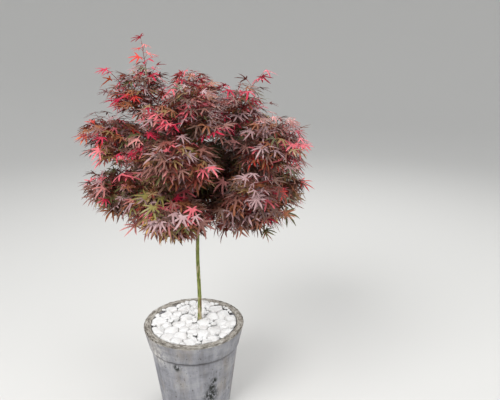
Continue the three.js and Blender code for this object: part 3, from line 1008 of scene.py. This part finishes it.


# Colours, dealt out by spray
# The mauve tint is a painted highlight: a pale lilac that stands for the sky's reflection on glossy dusky
# purple leaves
TINTS = {
    "dusk": "614338", "plum": "86594f", "mauve": "a88687", "maroon": "76352a", "russet": "955c3e",
    "rose": "c27b76", "pink": "da6670", "crimson": "bc2242", "scarlet": "cb3a30", "orange": "d2622f",
    "olive": "5d5a36", "bronze": "8e7047", "lime": "857b42", "yellow": "cfa550",
}
SHARES = {"dusk": 20, "plum": 17, "mauve": 16, "maroon": 11, "russet": 16, "rose": 6, "pink": 3.5,
          "crimson": 2, "olive": 6, "bronze": 7, "lime": 1}
OWN_SHARES = {
    "low": {"russet": 20, "bronze": 15, "olive": 13, "lime": 1.5, "mauve": 12, "yellow": 0.6},
    "inner": {"russet": 18, "bronze": 10, "olive": 9},
    "low_5": {"russet": 24, "bronze": 14, "pink": 6, "yellow": 1},
    "low_4": {"mauve": 18, "pink": 7},
    "low_6": {"mauve": 19, "crimson": 6},
    "middle_3": {"mauve": 20, "scarlet": 10, "orange": 10},
    "middle_5": {"pink": 9},
    "top_4": {"mauve": 22, "crimson": 6, "pink": 6},
    "top_3": {"mauve": 20, "orange": 13, "scarlet": 11, "crimson": 12},
    "crown_1": {"crimson": 8, "mauve": 20},
}
YOUNG_SHARES = {"plum": 18, "mauve": 18, "russet": 15, "rose": 13, "pink": 11, "crimson": 9, "scarlet": 2,
                "bronze": 7}
TOP_SHARES = {"crimson": 14, "pink": 6, "mauve": 16, "scarlet": 2, "rose": 8, "plum": 8}
SHOOT_SHARES = {"crimson": 10, "scarlet": 5, "orange": 5, "pink": 4, "maroon": 3}
INNER_SHARES = {"dusk": 12, "maroon": 4, "russet": 4, "olive": 8, "bronze": 4}
KEEP_TINT = 0.3


def pick(shares, draw):
    """A tint drawn by its share."""
    at = draw() * sum(shares.values())
    for name, share in shares.items():
        at -= share
        if at < 0:
            break
    return name


# Leaf meshes
def blades(leaves, lobes):
    """The blades of leaves with the same number of lobes, as (vertices, triangles)."""
    form = LOBES[lobes]
    angles, lengths = np.radians(form.angles), np.array(form.lengths)
    flat = []  # each vertex of every leaf, as arrays of its forward, sideways and upward share of the size

    def of_all(*keys):
        return (np.array([leaf[key] for leaf in leaves])[:, None] for key in keys)

    size, droop, fold, lifts, sweeps = of_all("size", "droop", "fold", "lifts", "sweeps")

    def lobe_point(j, share, width):
        out = share * lengths[j]
        turn = angles[j] + sweeps[..., j] * share**2
        aside = width * lengths[j] ** 0.5
        rise = lifts[..., j] * out - droop * out**2 + fold * abs(aside)
        forward = out * np.cos(turn) - aside * np.sin(turn)
        sideways = out * np.sin(turn) + aside * np.cos(turn)
        flat.append((forward, sideways, rise))
        return len(flat) - 1

    def base_point(angle, out):
        place = (out * cos(angle), out * sin(angle), LEAF.base_rise)
        flat.append(tuple(np.full_like(size, share) for share in place))
        return len(flat) - 1

    centre = base_point(0, 0)
    ends = radians(LEAF.heel_angle)
    notches = [base_point(angles[0] - ends, LEAF.heel_notch)]
    notches += [base_point((a + b) / 2, LEAF.notch) for a, b in zip(angles, angles[1:])]
    notches += [base_point(angles[-1] + ends, LEAF.heel_notch)]
    faces = []
    for j in range(lobes):
        right, left = notches[j], notches[j + 1]
        rib = lobe_point(j, RIB_FROM, 0)
        faces += [(centre, right, rib), (centre, rib, left)]
        for share, width in ROWS:
            next_rib, next_right, next_left = (lobe_point(j, share, w) for w in (0, -width, width))
            faces += [(rib, right, next_right), (rib, next_right, next_rib)]
            faces += [(rib, next_rib, next_left), (rib, next_left, left)]
            rib, right, left = next_rib, next_right, next_left
        tip = lobe_point(j, 1, 0)
        faces += [(rib, right, tip), (rib, tip, left)]
    heel, along, across, normal = of_all("heel", "along", "across", "normal")
    shape = np.concatenate([np.stack(point, axis=2) for point in flat], axis=1) * size[..., None]
    vertices = heel + shape[..., :1] * along + shape[..., 1:2] * across + shape[..., 2:] * normal
    count = len(flat)
    triangles = np.array(faces)[None] + count * np.arange(len(leaves))[:, None, None]
    return vertices.reshape(-1, 3), triangles.reshape(-1, 3)


def petiole(leaf):
    bend = mix(leaf["foot"], leaf["heel"], FINE.petiole_bend) + UP * FINE.petiole_arch
    curve = Curve(leaf["foot"], bend, leaf["heel"] + leaf["along"] * FINE.petiole_sunk)
    return tube(curve.points(3), np.linspace(*FINE.petiole_radius, 3), 3)


def build_foliage(masses):
    nodes = [f"foliage_{mass['name']}" for mass in masses]
    leaves = [leaf for mass in masses for leaf in mass["leaves"]]
    for tint, shade in TINTS.items():
        look = Look(f"leaf_{tint}", shade, 0.45)
        vertices, triangles, start = [], [], 0
        for lobes in LOBES:
            own = [leaf for leaf in leaves if leaf["tint"] == tint and leaf["lobes"] == lobes]
            if own:
                points, faces = blades(own, lobes)
                vertices.append(points)
                triangles.append(faces + start)
                start += len(points)
        if vertices:
            triangles = np.concatenate(triangles).tolist()
            piece(f"leaves_{tint}", np.concatenate(vertices), triangles, look, "foliage", nodes)
    for kind, form in TWIGS.items():
        twigs = [tube(points, radii, form.sides) for mass in masses for points, radii in mass[kind]]
        look = Look(f"twig_{kind}", form.shade, form.rough)
        piece(f"twigs_{kind}", *joined(twigs), look, "foliage")
    stalks = [petiole(leaf) for leaf in leaves]
    piece("petioles", *joined(stalks), Look("petiole", "a02f33", 0.5), "foliage")


# Camera, floor and lights, the latter two in metres
STAGE = Table(middle=0.02, flat=4.5, curve=5, shade="cfcecb")
CAMERA = Table(place=(197.6, -1637.6, 1254.8), pitch=16.754, lens=37.44, sensor=36)
LIT = (0, 0, 0.8)

# The name, place, width and power in watts of each light, all aimed at LIT
LIGHTS = [
    ("key", (-1.7, -2.3, 3.4), 2.4, 140),
    ("fill", (2.8, -1.8, 1.8), 2.6, 40),
    ("back", (0.8, 2.2, 3.4), 2.6, 60),
]
SKY = Table(shade="e3e5e8", strength=0.82)


def build_camera():
    data = bpy.data.cameras.new("camera")
    data.lens, data.sensor_width = CAMERA.lens, CAMERA.sensor
    made = new_object("camera", data)
    made.location = Vector(CAMERA.place) * MM
    made.rotation_euler = (radians(90 - CAMERA.pitch), 0, 0)
    scene.camera = made


def build_floor():
    """A pale floor that curves up into a low wall all round, well away from the pot."""
    sides, rise = 96, 24
    outline = [(STAGE.middle, 0), (STAGE.flat, 0)]
    for i in range(1, rise + 1):
        turn = pi / 2 * i / rise
        out, up = STAGE.curve * sin(turn), STAGE.curve * (1 - cos(turn))
        outline.append((STAGE.flat + out, up))
    vertices, faces = [], []
    for radius, height in outline:
        for j in range(sides):
            turn = 2 * pi * j / sides
            vertices.append((radius * cos(turn), radius * sin(turn), height))
    for row in range(0, len(vertices) - sides, sides):
        for j in range(sides):
            k = (j + 1) % sides
            faces.append((row + j, row + k, row + sides + k, row + sides + j))
    faces.append(tuple(range(sides)))
    floor = smooth_object("floor", vertices, faces, Look("floor", STAGE.shade, 0.9, 0.1))


def area_light(name, place, size, power):
    data = bpy.data.lights.new(name, "AREA")
    data.shape, data.size, data.energy = "DISK", size, power
    made = new_object(name, data)
    made.location = place
    made.rotation_euler = (Vector(LIT) - Vector(place)).to_track_quat("-Z", "Y").to_euler()


def build_lights():
    for light in LIGHTS:
        area_light(*light)
    world = bpy.data.worlds.new("studio")
    world.use_nodes = True
    shade = world.node_tree.nodes["Background"]
    shade.inputs["Color"].default_value = colour(SKY.shade)
    shade.inputs["Strength"].default_value = SKY.strength
    scene.world = world
    scene.view_settings.view_transform = "Standard"


build_camera()
build_floor()
build_lights()
build_pot()
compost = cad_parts["compost"].data.materials
compost.clear()
compost.append(dark_compost().material)
build_stones()
build_trunk()
masses = place_masses()
balls = Table(
    centres=np.array([mass["centre"] for mass in masses]),
    axes=np.array([mass["axes"] for mass in masses]),
    halves=np.array([mass["half"] for mass in masses]),
)
trunk_top = [trunk_point(t) for t in np.linspace(0.7, 1, 30)]
limb_points = np.concatenate([trunk_top] + [mass["bough"].points(14) for mass in masses])
for mass in masses:
    grow_mass(mass)
build_boughs(masses)
build_foliage(masses)
